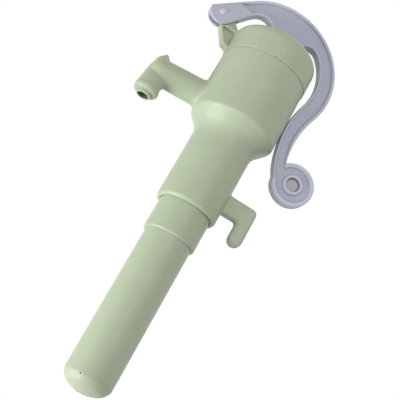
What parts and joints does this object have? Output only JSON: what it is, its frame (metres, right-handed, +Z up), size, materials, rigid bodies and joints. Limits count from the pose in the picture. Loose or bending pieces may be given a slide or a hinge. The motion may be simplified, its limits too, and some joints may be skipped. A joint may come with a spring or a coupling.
{
  "type": "toy hand water pump",
  "caption": "Toy lever pump for water play: a curved ribbed lever lifts a piston in a stepped barrel and draws water up a suction tube and out of a side spout; a hook hangs it on a tub rim.",
  "frame": {"origin": "lowest point of the domed foot, on the barrel's axis", "axes": "+Z up along the barrel, spout towards -X, hook and handle towards +X, lever in the XZ plane"},
  "size_m": [0.1993, 0.0886, 0.43],
  "materials": {
    "green_plastic": "satin",
    "grey_plastic": "satin",
    "black_rubber": "matt",
    "white_plastic": "satin"
  },
  "bodies": {
    "barrel": {"suction_tube": "green_plastic", "lower_seal": "black_rubber", "coupling_sleeve": "green_plastic", "upper_seal": "black_rubber", "foot_valve_seat": "white_plastic", "foot_valve_peg": "white_plastic", "pump_body": "green_plastic", "spout_outlet": "green_plastic", "top_cap": "green_plastic"},
    "lever": {"lever": "grey_plastic", "lever_pin": "grey_plastic", "lever_pin_cap": "grey_plastic", "rod_pin": "white_plastic"},
    "piston": {"piston_rod": "white_plastic", "piston": "white_plastic", "piston_seal": "black_rubber", "piston_collar": "white_plastic", "piston_nut": "white_plastic"},
    "foot_valve": {"foot_valve_disc": "black_rubber"},
    "piston_valve": {"piston_valve_disc": "black_rubber"}
  },
  "joints": [
    {"name": "lever_swing", "type": "hinge", "parent": "barrel", "child": "lever", "pos_m": [-0.0655, 0, 0.3824], "axis": [0, -1, 0], "range_deg": [0, 36]},
    {"name": "piston_lift", "type": "slide", "parent": "barrel", "child": "piston", "axis": [0, 0, 1], "range_m": [0, 0.0415]},
    {"name": "foot_valve_lift", "type": "slide", "parent": "barrel", "child": "foot_valve", "axis": [0, 0, 1], "range_m": [0, 0.003]},
    {"name": "piston_valve_lift", "type": "slide", "parent": "piston", "child": "piston_valve", "axis": [0, 0, 1], "range_m": [0, 0.003]}
  ],
  "couplings": [
    {"joint": "piston_lift", "follows": "lever_swing", "m_per_rad": 0.066044}
  ]
}
